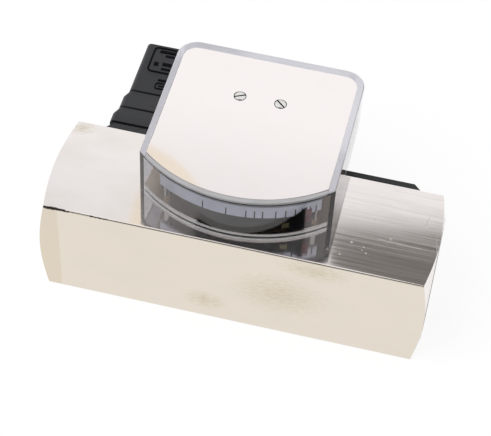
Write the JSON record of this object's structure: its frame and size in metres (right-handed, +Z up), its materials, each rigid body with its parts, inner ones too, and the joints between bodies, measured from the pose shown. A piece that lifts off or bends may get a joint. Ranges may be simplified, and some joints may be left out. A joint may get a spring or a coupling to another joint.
{
  "type": "variable area flow meter",
  "caption": "Spring-loaded variable area flow meter: square threaded pipe body, magnetic pointer dial under a clear hood, and a reed switch housing with a square plug.",
  "frame": {"origin": "middle of the body's bottom face, below the pipe axis", "axes": "+X along the pipe axis towards the inlet port, +Y towards the switch housing at the back, +Z up through the dial"},
  "size_m": [0.13, 0.0914, 0.0586],
  "materials": {
    "nickel_plated_brass": "bright nickel plate over brass, drawn faces",
    "polished_steel": "polished sheet",
    "stainless_steel": "turned stainless steel",
    "spring_steel": "drawn spring wire",
    "brass": "turned brass",
    "ferrite": "sintered ferrite magnet",
    "aluminium": "anodised aluminium",
    "scale_white": "printed aluminium strip",
    "clear_acrylic": "clear moulded acrylic",
    "black_polyamide": "moulded black polyamide",
    "grey_polyamide": "moulded grey polyamide",
    "black_rubber": "moulded rubber",
    "red_lacquer": "red marker",
    "board_green": "printed circuit board",
    "reed_glass": "glass capsule"
  },
  "bodies": {
    "meter": {"body_block": "nickel_plated_brass", "inlet_guide": "stainless_steel", "outlet_guide": "stainless_steel", "guide_rod": "stainless_steel", "rod_nuts": "stainless_steel", "retaining_rings": "spring_steel", "metering_sleeve": "brass", "return_spring": "spring_steel", "base_gasket": "black_rubber", "base_plate": "aluminium", "base_plate_screws": "stainless_steel", "pillars": "aluminium", "pivot_bushes": "brass", "bearing_bridge": "aluminium", "scale_strip": "scale_white", "scale_posts": "aluminium", "clear_hood": "clear_acrylic", "cover_plate": "polished_steel", "cover_screws": "stainless_steel", "switch_housing": "black_polyamide", "housing_screws": "stainless_steel", "circuit_board": "board_green", "reed_switch": "reed_glass", "reed_leads": "stainless_steel", "connector_base": "grey_polyamide", "contact_blades": "brass", "plug_gasket": "black_rubber", "plug_cover": "black_polyamide", "plug_insert": "grey_polyamide", "terminal_screws": "stainless_steel", "plug_screw": "stainless_steel", "gland_nut": "black_polyamide", "gland_washer": "stainless_steel", "gland_grommet": "black_rubber"},
    "float": {"float_body": "brass", "float_magnet": "ferrite", "float_nut": "stainless_steel"},
    "pointer": {"pointer_arbor": "stainless_steel", "pointer_hub": "brass", "pointer_arm": "brass", "follower_magnet": "ferrite", "counterweight": "brass", "pointer_flag": "black_polyamide", "pointer_marker": "red_lacquer"}
  },
  "joints": [
    {"name": "float_slide", "type": "slide", "parent": "meter", "child": "float", "axis": [-1, 0, 0], "range_m": [0, 0.0247], "stiffness_N_per_m": 150, "springref_m": -0.01, "deforming": ["return_spring"]},
    {"name": "pointer_turn", "type": "hinge", "parent": "meter", "child": "pointer", "pos_m": [-0.0024, 0.0282, 0.045], "axis": [0, 0, -1], "range_deg": [0, 52]}
  ],
  "couplings": [
    {"joint": "pointer_turn", "follows": "float_slide", "rad_per_m": 36.72}
  ]
}
